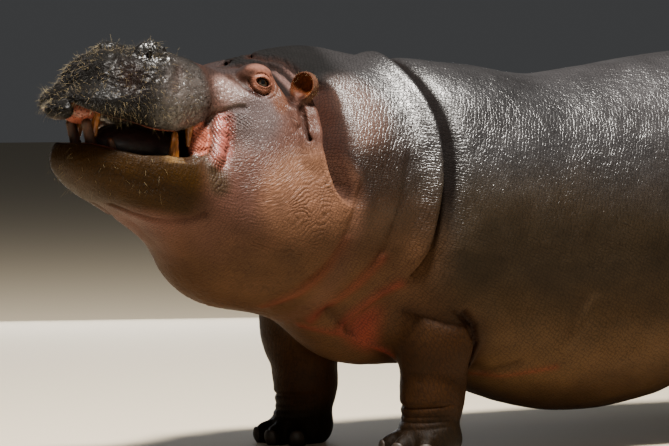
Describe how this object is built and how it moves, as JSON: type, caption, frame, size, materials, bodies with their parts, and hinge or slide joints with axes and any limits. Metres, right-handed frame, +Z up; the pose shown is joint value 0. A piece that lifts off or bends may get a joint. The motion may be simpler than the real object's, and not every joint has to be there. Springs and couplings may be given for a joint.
{
  "type": "hippopotamus",
  "caption": "Life-size still model of a standing hippopotamus with its head raised and its mouth a little open, for museum and zoo scenes.",
  "frame": {"origin": "on the floor, under the middle of the model's bounding box", "axes": "+Z up, -X towards the head, -Y towards the animal's left side, which the picture shows"},
  "size_m": [3.3182, 1.0386, 1.425],
  "materials": {
    "skin": "damp and softly glossy, slate grey above and pinkish brown on the face, throat and belly",
    "eye": "wet and glossy, dark brown",
    "teeth_and_nails": "dull stained ivory",
    "tongue": "moist"
  },
  "bodies": {
    "root": {"head": "skin", "lower_jaw": "skin", "neck": "skin", "trunk": "skin", "tail": "skin", "ear_left": "skin", "ear_right": "skin", "leg_front_left": "skin", "leg_front_right": "skin", "leg_hind_left": "skin", "leg_hind_right": "skin", "eye_left": "eye", "eye_right": "eye", "tusk_left": "teeth_and_nails", "tusk_right": "teeth_and_nails", "tongue": "tongue"}
  },
  "joints": []
}
